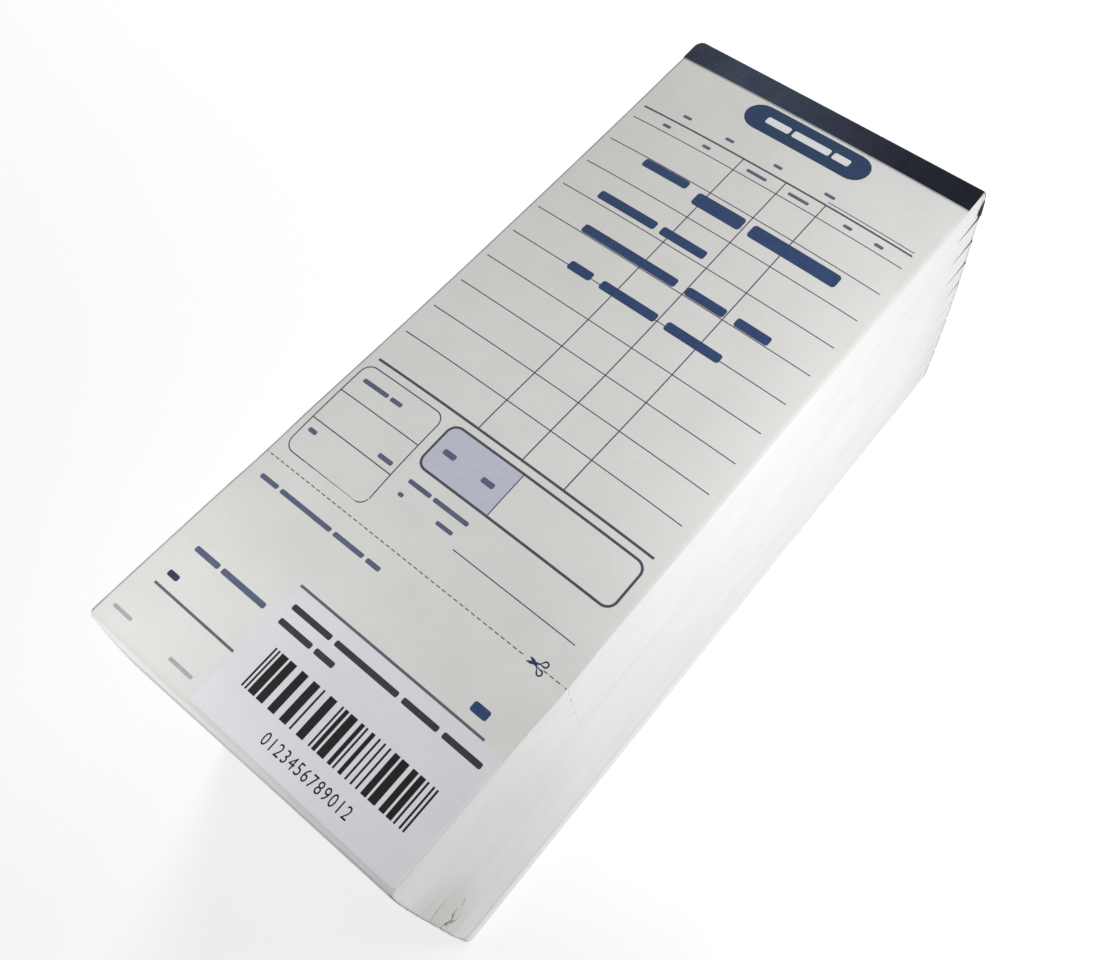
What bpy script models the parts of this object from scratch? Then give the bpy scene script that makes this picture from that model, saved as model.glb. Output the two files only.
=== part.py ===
"""Block of ten order-slip pads: loose pads stacked flush, each one a stack of
leaves glued at the head to a backing board and bound with a folded tape.

Frame: origin at the middle of the underside, +X to the right of the printed
form, +Y towards the bound head, +Z up.  Lengths are in metres.
"""

import math

import bmesh
import bpy

MM = 0.001

# Outer size of the block
WIDTH = 75.0 * MM
LENGTH = 176.0 * MM
PAD_COUNT = 10
TOP_PITCH = 7.74 * MM  # pitch of the topmost pad
PITCH_STEP = 0.12 * MM  # each pad below is pressed this much thinner

# Sheet materials
TAPE_T = 0.20 * MM  # binding tape
BOARD_T = 0.60 * MM  # backing board
GLUE_T = 0.40 * MM  # padding adhesive along the head
LEAF_T = 0.12 * MM  # loose top leaf
LABEL_T = 0.12 * MM  # self-adhesive label
GAP = 0.10 * MM  # clearance between neighbouring pieces

# Binding
TAPE_FRONT = 6.7 * MM  # tape showing on the front
TAPE_BACK = 8.0 * MM  # tape turned under the board
TAPE_BEND = 0.60 * MM  # outer radius of the tape's folds
BEND_STEPS = 4

# Leaf details
CORNER_R = 0.60 * MM  # trimmed corners at the foot
PERF_FROM_HEAD = 134.72 * MM  # perforation, measured from the head
NICK_DEPTH = 0.20 * MM  # nick that the perforation leaves in the edges
NICK_HALF = 0.25 * MM

# Label on the tear-off slip, measured from the left edge and from the head
LABEL_U = (26.0 * MM, 74.8 * MM)
LABEL_V = (149.95 * MM, 175.6 * MM)
LABEL_R = 0.8 * MM

HEAD_Y = LENGTH / 2
FOOT_Y = -LENGTH / 2
PERF_Y = HEAD_Y - PERF_FROM_HEAD
TAPE_EDGE_Y = HEAD_Y - TAPE_FRONT
LEAVES_HEAD_Y = HEAD_Y - TAPE_T - GAP - GLUE_T - GAP
TOTAL_H = sum(TOP_PITCH - PITCH_STEP * i for i in range(PAD_COUNT))

# Hinge lines of the top leaf and of its tear-off slip
LEAF_TOP_Z = TOTAL_H - TAPE_T - GAP
LEAF_HINGE = (0.0, TAPE_EDGE_Y - GAP / 2, TOTAL_H)
SLIP_HINGE = (0.0, PERF_Y, LEAF_TOP_Z + 0.02 * MM)


for old in list(bpy.data.objects):
    bpy.data.objects.remove(old, do_unlink=True)

block = bpy.data.collections.new("order_pad_block")
cutters = bpy.data.collections.new("cutters")
bpy.context.scene.collection.children.link(block)
bpy.context.scene.collection.children.link(cutters)
cutters.hide_render = True


def material(name, colour, roughness):
    mat = bpy.data.materials.new(name)
    mat.use_nodes = True
    bsdf = mat.node_tree.nodes["Principled BSDF"]
    bsdf.inputs["Base Color"].default_value = (*colour, 1.0)
    bsdf.inputs["Roughness"].default_value = roughness
    bsdf.inputs["Metallic"].default_value = 0.0
    return mat


PAPER = material("form_paper", (0.74, 0.74, 0.71), 0.85)
EDGES = material("leaf_edges", (0.80, 0.80, 0.78), 0.90)
BOARD = material("grey_board", (0.55, 0.53, 0.49), 0.92)
GLUE = material("padding_glue", (0.82, 0.80, 0.74), 0.45)
TAPE = material("navy_tape", (0.022, 0.030, 0.075), 0.60)
LABEL = material("label_paper", (0.80, 0.80, 0.84), 0.50)


def arc(cx, cy, r, start, end, steps):
    """Points on a circle from one angle to another, in degrees."""
    return [
        (
            cx + r * math.cos(math.radians(start + (end - start) * i / steps)),
            cy + r * math.sin(math.radians(start + (end - start) * i / steps)),
        )
        for i in range(steps + 1)
    ]


def plate_curve(name, outline, half):
    """A flat outline given thickness, centred on its own plane."""
    curve = bpy.data.curves.new(name, "CURVE")
    curve.dimensions = "2D"
    curve.fill_mode = "BOTH"
    curve.extrude = half
    spline = curve.splines.new("POLY")
    spline.points.add(len(outline) - 1)
    for point, (a, b) in zip(spline.points, outline):
        point.co = (a, b, 0.0, 1.0)
    spline.use_cyclic_u = True
    return bpy.data.objects.new(name, curve)


def solid(curve_obj):
    """The curve as a closed mesh, so that it can be cut."""
    block.objects.link(curve_obj)
    bpy.context.view_layer.update()
    graph = bpy.context.evaluated_depsgraph_get()
    mesh = bpy.data.meshes.new_from_object(curve_obj.evaluated_get(graph))
    name = curve_obj.name
    bpy.data.objects.remove(curve_obj, do_unlink=True)
    bm = bmesh.new()
    bm.from_mesh(mesh)
    bmesh.ops.remove_doubles(bm, verts=bm.verts, dist=1e-7)
    bmesh.ops.recalc_face_normals(bm, faces=bm.faces)
    bm.to_mesh(mesh)
    bm.free()
    mesh.name = name
    return bpy.data.objects.new(name, mesh)


def box_mesh(name, low, high):
    """A box between two corners, with its origin at the parent's origin."""
    mesh = bpy.data.meshes.new(name)
    bm = bmesh.new()
    bmesh.ops.create_cube(bm, size=1.0)
    size = [h - l for l, h in zip(low, high)]
    mid = [(h + l) / 2 for l, h in zip(low, high)]
    bmesh.ops.scale(bm, vec=size, verts=bm.verts)
    bmesh.ops.translate(bm, vec=mid, verts=bm.verts)
    bm.to_mesh(mesh)
    bm.free()
    return bpy.data.objects.new(name, mesh)


def add(obj, mat, parent, location=(0.0, 0.0, 0.0), rotation=(0.0, 0.0, 0.0)):
    block.objects.link(obj)
    obj.data.materials.clear()
    obj.data.materials.append(mat)
    obj.parent = parent
    obj.location = location
    obj.rotation_euler = rotation
    return obj


def cut(obj, low, high):
    """Takes a box, given in the object's own frame, out of the object."""
    cutter = box_mesh(obj.name + "_cutter", low, high)
    cutters.objects.link(cutter)
    cutter.parent = obj
    cutter.hide_render = True
    cutter.display_type = "WIRE"
    change = obj.modifiers.new("rebate", "BOOLEAN")
    change.operation = "DIFFERENCE"
    change.solver = "EXACT"
    change.object = cutter


def empty(name, location, parent=None):
    obj = bpy.data.objects.new(name, None)
    obj.empty_display_size = 0.01
    block.objects.link(obj)
    obj.parent = parent
    obj.location = location
    return obj


def sheet_outline(low_y, high_y, nick=False, foot_corners=True, half=WIDTH / 2):
    """A leaf's outline in plan: trimmed corners at the foot and, where the
    perforation crosses the edges, a small nick on each side."""
    r = CORNER_R if foot_corners else 0.0
    points = []
    if r:
        points += arc(-half + r, low_y + r, r, 180, 270, 3)
        points += arc(half - r, low_y + r, r, 270, 360, 3)
    else:
        points += [(-half, low_y), (half, low_y)]
    if nick:
        points += [
            (half, PERF_Y - NICK_HALF),
            (half - NICK_DEPTH, PERF_Y),
            (half, PERF_Y + NICK_HALF),
        ]
    points += [(half, high_y), (-half, high_y)]
    if nick:
        points += [
            (-half, PERF_Y + NICK_HALF),
            (-half + NICK_DEPTH, PERF_Y),
            (-half, PERF_Y - NICK_HALF),
        ]
    return points


def tape_outline(height):
    """The folded tape seen from the side: front strip, head, back strip.
    The first number runs along the pad, the second up through it."""
    r, inner = TAPE_BEND, TAPE_BEND - TAPE_T
    front, back = HEAD_Y - TAPE_FRONT, HEAD_Y - TAPE_BACK
    top, low = (HEAD_Y - r, height - r), (HEAD_Y - r, r)
    outside = [(back, 0.0)]
    outside += arc(*low, r, 270, 360, BEND_STEPS)
    outside += arc(*top, r, 0, 90, BEND_STEPS)
    outside += [(front, height)]
    inside = [(front, height - TAPE_T)]
    inside += arc(*top, inner, 90, 0, BEND_STEPS)
    inside += arc(*low, inner, 360, 270, BEND_STEPS)
    inside += [(back, TAPE_T)]
    return outside + inside


# Pads, from the bottom one up.  Each rides on the empty of the pad below it,
# because a pad is lifted together with all that lies on it.
below, base_z, below_z = None, 0.0, 0.0
for index in reversed(range(PAD_COUNT)):
    tag = f"{index + 1:02d}"
    top_pad = index == 0
    pitch = TOP_PITCH - PITCH_STEP * index
    height = pitch if top_pad else pitch - GAP
    pad = empty("pad_" + tag, (0.0, 0.0, base_z - below_z), below)

    board = solid(
        plate_curve(
            "backing_board_" + tag,
            sheet_outline(FOOT_Y, LEAVES_HEAD_Y),
            BOARD_T / 2,
        )
    )
    add(board, BOARD, pad, (0.0, 0.0, BOARD_T / 2))
    cut(
        board,
        (-WIDTH, HEAD_Y - TAPE_BACK - GAP, -BOARD_T),
        (WIDTH, HEAD_Y + GAP, -BOARD_T / 2 + TAPE_T + GAP),
    )

    low = BOARD_T + GAP
    high = height - TAPE_T - GAP
    leaves = solid(
        plate_curve(
            "leaf_block_" + tag,
            sheet_outline(FOOT_Y, LEAVES_HEAD_Y, nick=True),
            (high - low) / 2,
        )
    )
    add(leaves, EDGES, pad, (0.0, 0.0, (low + high) / 2))
    if top_pad:
        cut(
            leaves,
            (-WIDTH, -LENGTH, (high - low) / 2 - LEAF_T - GAP),
            (WIDTH, TAPE_EDGE_Y, (high - low) / 2 + 1.0 * MM),
        )

    add(
        box_mesh(
            "head_glue_" + tag,
            (-WIDTH / 2, LEAVES_HEAD_Y + GAP, TAPE_BEND),
            (WIDTH / 2, LEAVES_HEAD_Y + GAP + GLUE_T, height - TAPE_BEND),
        ),
        GLUE,
        pad,
    )

    add(
        plate_curve("binding_tape_" + tag, tape_outline(height), WIDTH / 2),
        TAPE,
        pad,
        rotation=(math.radians(90), 0.0, math.radians(90)),
    )

    below, below_z = pad, base_z
    base_z += pitch

# Top leaf of the uppermost pad, free from the tape down to the perforation.
# Its origin is on the line it turns about, at the edge of the tape.
leaf = add(
    box_mesh(
        "top_leaf",
        (-WIDTH / 2, PERF_Y + GAP / 2 - LEAF_HINGE[1], LEAF_TOP_Z - LEAF_T - LEAF_HINGE[2]),
        (WIDTH / 2, -GAP / 2, LEAF_TOP_Z - LEAF_HINGE[2]),
    ),
    PAPER,
    below,
    (LEAF_HINGE[0], LEAF_HINGE[1], LEAF_HINGE[2] - below_z),
)

# Tear-off slip below the perforation, with its origin on the fold line.
slip_outline = [
    (x, y - SLIP_HINGE[1]) for x, y in sheet_outline(FOOT_Y, PERF_Y - GAP / 2)
]
slip_mid_z = LEAF_TOP_Z - LEAF_T / 2 - SLIP_HINGE[2]
fold = empty(
    "slip_fold_line",
    [s - l for s, l in zip(SLIP_HINGE, LEAF_HINGE)],
    leaf,
)
slip = add(
    plate_curve("tear_off_slip", slip_outline, LEAF_T / 2),
    PAPER,
    fold,
    (0.0, 0.0, slip_mid_z),
)

# Label stuck on the slip's lower right corner.
u0, u1 = LABEL_U
v0, v1 = LABEL_V
lx, hx = u0 - WIDTH / 2, u1 - WIDTH / 2
ly, hy = HEAD_Y - v1 - SLIP_HINGE[1], HEAD_Y - v0 - SLIP_HINGE[1]
r = LABEL_R
label_outline = (
    arc(lx + r, ly + r, r, 180, 270, 3)
    + arc(hx - r, ly + r, r, 270, 360, 3)
    + arc(hx - r, hy - r, r, 0, 90, 3)
    + arc(lx + r, hy - r, r, 90, 180, 3)
)
add(
    plate_curve("barcode_label", label_outline, LABEL_T / 2),
    LABEL,
    fold,
    (0.0, 0.0, LEAF_TOP_Z + GAP + LABEL_T / 2 - SLIP_HINGE[2]),
)
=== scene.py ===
"""Looks of the pad block: paper, print, tape, label, light and camera."""

import math

import bpy
import numpy as np
from mathutils import Matrix, Vector


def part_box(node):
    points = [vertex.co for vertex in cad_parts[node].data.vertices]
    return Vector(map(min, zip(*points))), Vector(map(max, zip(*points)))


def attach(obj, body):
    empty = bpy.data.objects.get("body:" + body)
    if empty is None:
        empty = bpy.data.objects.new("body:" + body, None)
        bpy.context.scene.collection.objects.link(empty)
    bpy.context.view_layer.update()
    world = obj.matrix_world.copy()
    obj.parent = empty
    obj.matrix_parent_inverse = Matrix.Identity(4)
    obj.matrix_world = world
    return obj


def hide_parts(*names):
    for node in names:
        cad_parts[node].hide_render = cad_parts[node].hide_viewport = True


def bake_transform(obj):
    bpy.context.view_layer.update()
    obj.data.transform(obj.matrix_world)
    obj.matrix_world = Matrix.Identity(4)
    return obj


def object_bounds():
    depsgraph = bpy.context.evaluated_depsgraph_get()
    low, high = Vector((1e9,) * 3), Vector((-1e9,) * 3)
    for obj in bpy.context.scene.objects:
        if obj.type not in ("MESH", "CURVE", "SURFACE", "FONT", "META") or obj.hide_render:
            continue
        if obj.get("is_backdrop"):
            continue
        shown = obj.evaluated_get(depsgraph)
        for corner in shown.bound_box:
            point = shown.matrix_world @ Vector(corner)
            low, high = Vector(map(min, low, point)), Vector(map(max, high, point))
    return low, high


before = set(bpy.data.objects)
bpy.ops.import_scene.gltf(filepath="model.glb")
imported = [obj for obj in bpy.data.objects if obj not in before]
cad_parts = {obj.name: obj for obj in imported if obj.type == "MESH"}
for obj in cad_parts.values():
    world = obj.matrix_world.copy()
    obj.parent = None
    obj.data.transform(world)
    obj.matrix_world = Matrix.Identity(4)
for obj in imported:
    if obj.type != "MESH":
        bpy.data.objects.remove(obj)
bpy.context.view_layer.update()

MM = 0.001
SEED = 20
SHEET_MAP = 2 * 74.96 + 4  # millimetres across the map of a leaf
UV = "OFBake"

# ---------------------------------------------------------------- dimensions
# Millimetres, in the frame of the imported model. On the form, u runs from the
# left edge and v from the head.
HALF_W = 37.5
HEAD, FOOT = 88.0, -88.0
BLOCK_H = 72.0
TAPE_EDGE = 81.3
TAPE_BACK = 80.0
PERF = -46.72
LEAVES_HEAD = 87.2
PADS = 10
LAYERS = 64  # leaf steps drawn in the edges of each pad
LEAF_T = 0.08
TAPE_T = 0.18
BOARD_T = 0.62
LABEL_U, LABEL_V = (26.0, 74.98), (149.95, 175.6)
LABEL_R = 0.8


def pad_range(k):
    """Lowest and highest z of pad k, 1 at the top."""
    low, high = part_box(f"binding_tape_{k:02d}")
    return low.z / MM, high.z / MM


RANGES = {k: pad_range(k) for k in range(1, PADS + 1)}


# ---------------------------------------------------------------- small maths
def smooth(t):
    t = np.clip(t, 0.0, 1.0)
    return t * t * (3 - 2 * t)


class Waves:
    """Smooth seeded noise: a few sines with random phases, spread about 1."""

    def __init__(self, seed, count, low, high):
        r = np.random.default_rng(seed)
        self.f = np.exp(r.uniform(math.log(low), math.log(high), count)) * 2 * math.pi
        self.p = r.uniform(0, 2 * math.pi, count)
        self.a = r.uniform(0.5, 1.0, count)
        self.a /= np.sqrt((self.a**2).sum() / 2)

    def __call__(self, t):
        t = np.asarray(t, float)
        return (self.a * np.sin(t[..., None] * self.f + self.p)).sum(-1)


wave_x = Waves(SEED + 1, 5, 1 / 70, 1 / 22)
wave_y = Waves(SEED + 2, 5, 1 / 90, 1 / 26)
gape_wave = Waves(SEED + 5, 4, 1 / 9, 1 / 3)


def edge_droop(x, y):
    """How far the uppermost leaves are pressed down along the long edges."""
    x, y = np.asarray(x, float), np.asarray(y, float)
    right = np.clip((x - (HALF_W - 0.7)) / 0.7, 0, 1)
    left = np.clip((-x - (HALF_W - 0.8)) / 0.8, 0, 1)
    held = 1 - 0.85 * smooth((y - (TAPE_EDGE - 9)) / 9)
    return (0.27 * right**2 * (0.10 + 0.90 * smooth((y + 72.0) / 34.0)) + 0.14 * left**2) * held


def swell(x, y):
    """How far the uppermost leaves are puffed up, most along the middle; they
    are held down by the tape and creased at the perforation."""
    v = HEAD - y
    rise = 0.42 + 0.75 * np.exp(-(((v - 31) / 24) ** 2)) + 1.10 * np.exp(-(((v - 108) / 19) ** 2))
    rise = rise + 0.30 * np.exp(-(((v - 142) / 16) ** 2))
    rise = rise * smooth((v + 4) / 16) * (0.45 + 0.55 * smooth((y - FOOT) / 14))
    rise = rise * (1 - 0.86 * np.exp(-(((y - PERF) / 9) ** 2)))
    return rise * (1 - (np.abs(x) / HALF_W).clip(0, 1) ** 2.4)


def top_surface(x, y):
    """Height of the uppermost leaf's printed face."""
    x, y = np.asarray(x, float), np.asarray(y, float)
    free = 1 - smooth((y - (TAPE_EDGE - 14)) / 12)
    z = 71.97 + swell(x, y) + (0.012 * wave_x(x) + 0.016 * wave_y(y)) * free
    z = z - edge_droop(x, y) - 0.42 * np.exp(-(((y - PERF) / 7) ** 2))
    z = z - 0.10 * np.clip((FOOT + 1.0 - y) / 1.0, 0, 1) ** 2
    return z - 0.22 * smooth((y - (TAPE_EDGE - 6)) / 6)


def pad_top(k, x, y):
    """Height of the top of pad k's stack of leaves."""
    if k == 1:
        return top_surface(x, y) - LEAF_T - 0.03
    x, y = np.asarray(x, float), np.asarray(y, float)
    dip = 0.25 * smooth((y - (TAPE_EDGE - 4)) / 4)
    if k >= 5:
        dip = dip * (1 - smooth((np.abs(x) - 36.7) / 0.5))
    return RANGES[k][1] + 0.0985 - dip + 0 * x


# how far each seam between two pads gapes at the near right corner
SEAM_GAPE = {2: 0.05, 3: 0.16, 4: 0.26, 5: 0.12, 6: 0.10, 7: 0.12, 8: 0.08, 9: 0.14}
SEAM_REACH = {3: 4.0, 4: 3.6, 9: 12.0}


# splits between leaves at the near right corner, as (y, z, half width)
CRACKS = (
    ((-90.2, 30.6, 0.30), (-89.1, 29.8, 0.30), (-88.05, 28.6, 0.25), (-87.3, 27.4, 0.22), (-86.6, 25.7, 0.16), (-85.9, 25.1, 0.16), (-85.0, 25.4, 0.08)),
    ((-86.3, 27.8, 0.07), (-85.7, 28.8, 0.18), (-85.1, 29.4, 0.22), (-84.45, 30.0, 0.12)),
    ((-83.6, 28.5, 0.10), (-83.0, 29.0, 0.18), (-82.3, 29.9, 0.10)),
    ((-89.5, 40.3, 0.07), (-88.1, 40.85, 0.10), (-84.8, 42.5, 0.05)),
)


def gape(seam, x, y):
    """Opening of a seam at a point: widest at the near right corner."""
    if seam not in SEAM_GAPE:
        return np.zeros(np.broadcast(x, y).shape)
    d = np.hypot((HALF_W - x) * 0.8, (y - FOOT) * 0.62)
    return SEAM_GAPE[seam] * np.exp(-((d / SEAM_REACH.get(seam, 2.6)) ** 1.7))


def shaped(k, x, y, z):
    """Moves points of pad k the way the block is worn: the foot leans out
    below the top leaf, corners are blunt, seams gape at the near corner."""
    x, y, z = (np.array(a, float) for a in np.broadcast_arrays(x, y, z))
    low, high = RANGES[k]
    t = np.clip((z - low) / (high - low), 0, 1)
    depth = np.maximum(BLOCK_H - z, 0)
    # near right corner, blunter towards the floor
    r = 0.5 + 1.4 * smooth((17.0 - z) / 15.0)
    a, b = HALF_W - x, y - FOOT
    inside = (a < r) & (b < r)
    d = np.hypot(r - a, r - b)
    pull = np.where(inside & (d > r), r / np.maximum(d, 1e-9), 1.0)
    x = np.where(inside, HALF_W - r + (r - a) * pull, x)
    y = np.where(inside, FOOT + r - (r - b) * pull, y)
    # foot: the leaves slip forward just below the top one
    lean = (1.19 - 0.0097 * (x + 22.0)) * (0.30 + 0.70 * smooth((x + 39.5) / 11.0))
    under = np.maximum(depth - 0.30, 0)
    quick = 0.11 + 0.22 * smooth((x + 15.0) / 45.0)
    lean = lean * (1.93 - np.exp(-under / quick) - 0.93 * np.exp(-under / 8.0))
    y = y - lean * smooth((-50.0 - y) / 38.0)
    # left edge, bowed in along the far half
    bow = 0.74 * np.maximum(np.cos(math.pi / 2 * np.clip((y - 20.0) / 66.0, -1, 1)), 0) ** 0.8
    bow = bow - 0.42 * smooth((-50.0 - y) / 40.0)
    x = x + bow * np.exp(-depth / 25.0) * smooth((-x - (HALF_W - 8.0)) / 8.0)
    # right side, bulging at the head half way up
    belly = np.sin(math.pi * np.clip(z / BLOCK_H, 0, 1)) ** 0.8
    x = x + 0.80 * belly * smooth((y - 45.0) / 42.0) * smooth((x - 18.0) / 18.0)
    # lower edges, rubbed round
    sole = np.clip(1 - z / 0.5, 0, 1) ** 2
    x = x - 0.26 * sole * np.sign(x) * smooth((np.abs(x) - (HALF_W - 1.3)) / 1.3)
    y = y + 0.26 * sole * smooth((-y - 86.7) / 1.3)
    # upper edges, pressed round
    near_top = np.clip(1 - np.maximum(depth - 0.14, 0) / 1.36, 0, 1) ** 2
    x = x - 0.34 * near_top * smooth((x - (HALF_W - 1.3)) / 1.3)
    # near right corner, knocked in below the middle: the leaves are buckled
    near = np.exp(-(((HALF_W - x) / 5.0) ** 2) - (((y - FOOT) / 6.5) ** 2))
    knock = np.exp(-(((z - 30.0) / 13.0) ** 2))
    rough = 0.55 + 0.45 * gape_wave(z * 0.9 + y * 0.12)
    x = x - 0.30 * near * knock * rough
    edge = x > HALF_W - 2.5
    carve = np.zeros(x.shape)
    for path in CRACKS if k in (4, 5, 6, 7) else ():
        for (y0, z0, w0), (y1, z1, w1) in zip(path[:-1], path[1:]):
            along = ((y - y0) * (y1 - y0) + (z - z0) * (z1 - z0)) / ((y1 - y0) ** 2 + (z1 - z0) ** 2)
            along = np.clip(along, 0, 1)
            away = np.hypot(y - y0 - along * (y1 - y0), z - z0 - along * (z1 - z0))
            wide = w0 + along * (w1 - w0)
            carve = np.maximum(carve, 13.0 * wide * np.exp(-((away / wide) ** 2)))
    front = smooth((-88.0 - y) / 0.6)
    x = x - np.where(edge, carve, 0) * (1 - 0.5 * front)
    y = y + np.where(edge, np.minimum(carve, 0.9), 0) * front
    # blunt head corner on the left of the upper pads
    r = 0.5 + 1.9 * smooth((z - 54.0) / 12.0)
    a, b = x + HALF_W, HEAD - y
    inside = (a < r) & (b < r)
    d = np.hypot(r - a, r - b)
    pull = np.where(inside & (d > r), r / np.maximum(d, 1e-9), 1.0)
    x = np.where(inside, -HALF_W + r - (r - a) * pull, x)
    y = np.where(inside, HEAD - r + (r - b) * pull, y)
    # seams
    z = z + 0.45 * gape(k, x, y) * (1 - t) ** 1.5 - 0.55 * gape(k - 1, x, y) * t**1.5
    return x, y, z


def blunt(x, y, x0, x1, y0, y1, r):
    """Pulls the points of a rectangle inside its round corners."""
    cx = np.clip(x, x0 + r, x1 - r)
    cy = np.clip(y, y0 + r, y1 - r)
    d = np.hypot(x - cx, y - cy)
    pull = np.where(d > r, r / np.maximum(d, 1e-9), 1.0)
    return cx + (x - cx) * pull, cy + (y - cy) * pull


# ---------------------------------------------------------------- meshes
def make(name, verts, faces, materials, uvs=None, slots=None, smooth_angle=None):
    """A mesh object from points in millimetres; uvs are one pair a corner."""
    mesh = bpy.data.meshes.new(name)
    mesh.from_pydata((np.asarray(verts, float) * MM).tolist(), [], faces)
    if uvs is not None:
        layer = mesh.uv_layers.new(name=UV)
        layer.data.foreach_set("uv", np.asarray(uvs, np.float32).ravel())
    for m in materials:
        mesh.materials.append(m)
    if slots is not None:
        mesh.polygons.foreach_set("material_index", np.asarray(slots, np.int32))
    mesh.update()
    if smooth_angle is not None:
        mesh.shade_smooth()
        mesh.set_sharp_from_angle(angle=math.radians(smooth_angle))
    obj = bpy.data.objects.new(name, mesh)
    bpy.context.scene.collection.objects.link(obj)
    return obj


def axis_points(low, high, step, fine=()):
    """Values from low to high about step apart; fine holds (from, to, step)
    runs that are closer together."""
    values = list(np.linspace(low, high, max(2, int(round((high - low) / step)) + 1)))
    for a, b, s in fine:
        values = [v for v in values if not a - s * 0.6 < v < b + s * 0.6]
        values += list(np.linspace(a, b, max(2, int(round((b - a) / s)) + 1)))
    values = np.unique(np.round([v for v in values if low <= v <= high] + [low, high], 4))
    keep = [values[0]]
    for v in values[1:]:
        if v - keep[-1] > 0.03:
            keep.append(v)
    keep[-1] = values[-1]
    return np.array(keep)


def rim_of(index):
    """Indices round a grid, anticlockwise from its first corner."""
    return np.concatenate([index[:, 0], index[-1, 1:], index[-2::-1, -1], index[0, -2:0:-1]])


def grid_faces(index):
    a, b = index[:-1, :-1].ravel(), index[1:, :-1].ravel()
    c, d = index[1:, 1:].ravel(), index[:-1, 1:].ravel()
    return np.stack([a, b, c, d], 1)


def shell(name, upper, lower, flat, size, material, smooth_angle=40, cut=None, pale=()):
    """A closed sheet between two grids of points. flat holds the grid's own
    plan coordinates, size their extent, both in millimetres, for the map."""
    nx, ny = upper.shape[:2]
    n = nx * ny
    index = np.arange(n).reshape(nx, ny)
    over = grid_faces(index)
    under = over[:, ::-1] + n
    rim = rim_of(index)
    nxt = np.roll(rim, -1)
    wall = np.stack([rim, rim + n, nxt + n, nxt], 1)
    faces = np.concatenate([over, under, wall])
    w, l = size
    s = 1.0 / max(2 * w + 4, l + 3)
    first = (flat.reshape(-1, 2) + 1.0) * s
    second = (flat.reshape(-1, 2) + [w + 2.5, 1.0]) * s
    uvs = np.concatenate([first, second])[faces]
    m = len(over) + len(under)
    mid = first.mean(0)
    for corner, source in ((1, 0), (2, 3)):
        edge = uvs[m:, source]
        uvs[m:, corner] = edge + np.sign(edge - mid) * 0.2 * s
    points = np.concatenate([upper.reshape(-1, 3), lower.reshape(-1, 3)])
    materials, slots = [material], np.zeros(len(faces), int)
    if cut is not None:
        # the first edge of the grid shows the core of the sheet
        materials.append(cut)
        slots[m : m + nx - 1] = 1
        for j in pale:
            slots[m + nx - 1 + j] = 1
    return make(name, points, faces.tolist(), materials, uvs.reshape(-1, 2), slots, smooth_angle)


def slab(name, xs, ys, top, thickness, material, outline=None, warp=None):
    """A thin closed sheet whose upper face is at top(x, y)."""
    gx, gy = np.meshgrid(xs, ys, indexing="ij")
    px, py = (gx, gy) if outline is None else outline(gx, gy)
    z = top(px, py)
    upper, lower = np.stack([px, py, z], -1), np.stack([px, py, z - thickness], -1)
    if warp is not None:
        upper = np.stack(warp(upper[..., 0], upper[..., 1], upper[..., 2]), -1)
        lower = np.stack(warp(lower[..., 0], lower[..., 1], lower[..., 2]), -1)
    flat = np.stack([gx - xs[0], gy - ys[0]], -1)
    return shell(name, upper, lower, flat, (xs[-1] - xs[0], ys[-1] - ys[0]), material)


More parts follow.
